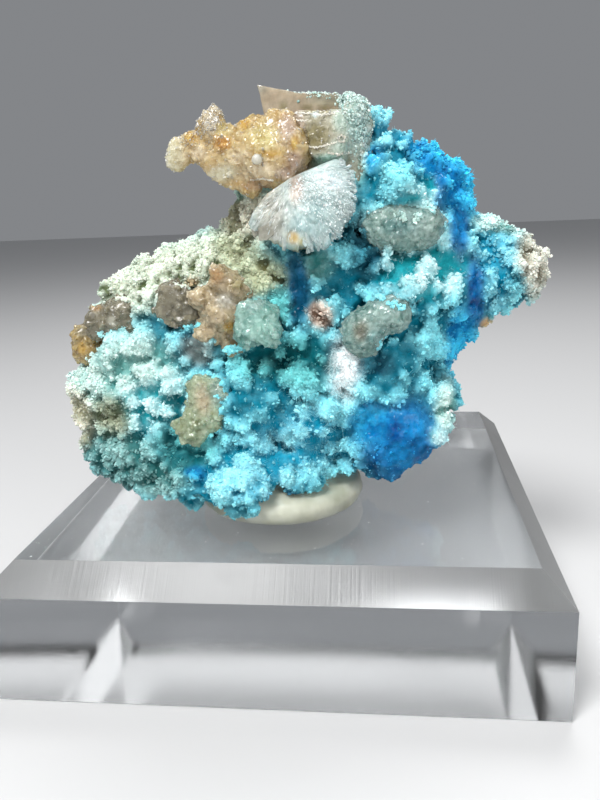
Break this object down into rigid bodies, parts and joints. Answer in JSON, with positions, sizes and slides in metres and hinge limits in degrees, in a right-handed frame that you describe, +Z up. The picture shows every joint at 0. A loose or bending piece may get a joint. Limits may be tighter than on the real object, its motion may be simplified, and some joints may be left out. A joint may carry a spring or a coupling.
{
  "type": "crusted mineral specimen on display block",
  "caption": "Upright blue-crusted mineral specimen with clear, amber and smoky crystals, held by a putty pad on a clear bevelled square display block.",
  "frame": {"origin": "centre of the display block's underside", "axes": "+Z up, +X to the right and +Y away from the side of the stone that is shown"},
  "size_m": [0.0508, 0.0508, 0.0524],
  "materials": {
    "blue_crust": "matte",
    "frosted_crystal": "satin",
    "plate_crystal": "gloss",
    "amber_crystal": "satin",
    "clear_rosette": "satin",
    "smoky_crystal": "gloss",
    "pale_green_crystal": "gloss",
    "grey_smoky_crystal": "gloss",
    "brown_amber_crystal": "gloss",
    "green_crystal": "gloss",
    "grey_green_crystal": "satin",
    "mounting_putty": "matte",
    "clear_acrylic": "gloss"
  },
  "bodies": {
    "root": {"crusted_matrix": "blue_crust", "frosted_crystal_head": "frosted_crystal", "plate_crystal": "plate_crystal", "amber_crystal_arm": "amber_crystal", "clear_rosette": "clear_rosette", "smoky_crystal_spray": "smoky_crystal", "pale_green_crystals": "pale_green_crystal", "smoky_wall_crystal": "grey_smoky_crystal", "smoky_corner_crystal": "grey_smoky_crystal", "amber_corner_crystal": "brown_amber_crystal", "green_blade_crystal": "green_crystal", "grey_dome_upper": "grey_green_crystal", "grey_dome_lower": "grey_green_crystal", "mounting_putty": "mounting_putty", "display_block": "clear_acrylic"}
  },
  "joints": []
}
